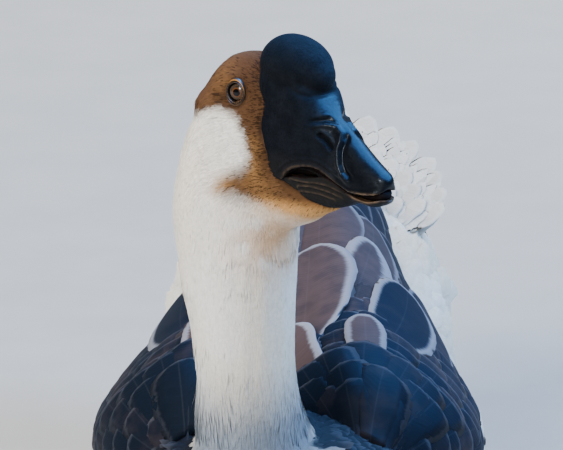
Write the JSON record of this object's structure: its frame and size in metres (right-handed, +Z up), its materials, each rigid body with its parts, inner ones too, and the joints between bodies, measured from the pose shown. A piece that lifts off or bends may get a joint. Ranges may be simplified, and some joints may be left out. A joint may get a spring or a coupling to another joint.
{
  "type": "african goose",
  "caption": "Still life-size model of an african goose resting on its belly, head turned to its left, wings folded, knobbed dark bill.",
  "frame": {"origin": "on the floor under the middle of the belly flat", "axes": "+Z up, -Y the way the goose's body faces, +X the goose's left"},
  "size_m": [0.2278, 0.5703, 0.3795],
  "materials": {
    "white_feathers": "soft cream-white feathers",
    "head_feathers": "fine rufous-brown and white feathers",
    "wing_feathers": "slate-brown feathers with pale edges",
    "bill": "glossy blue-black skin of the bill and knob",
    "eye": "wet amber-brown eye",
    "foot": "matt orange scaly skin"
  },
  "bodies": {
    "root": {"torso": "white_feathers", "neck": "white_feathers", "head": "head_feathers", "tail": "white_feathers", "wing_left": "wing_feathers", "wing_right": "wing_feathers", "bill_upper": "bill", "bill_lower": "bill", "eye_left": "eye", "eye_right": "eye", "leg_left": "foot", "leg_right": "foot", "foot_left": "foot", "foot_right": "foot"}
  },
  "joints": []
}
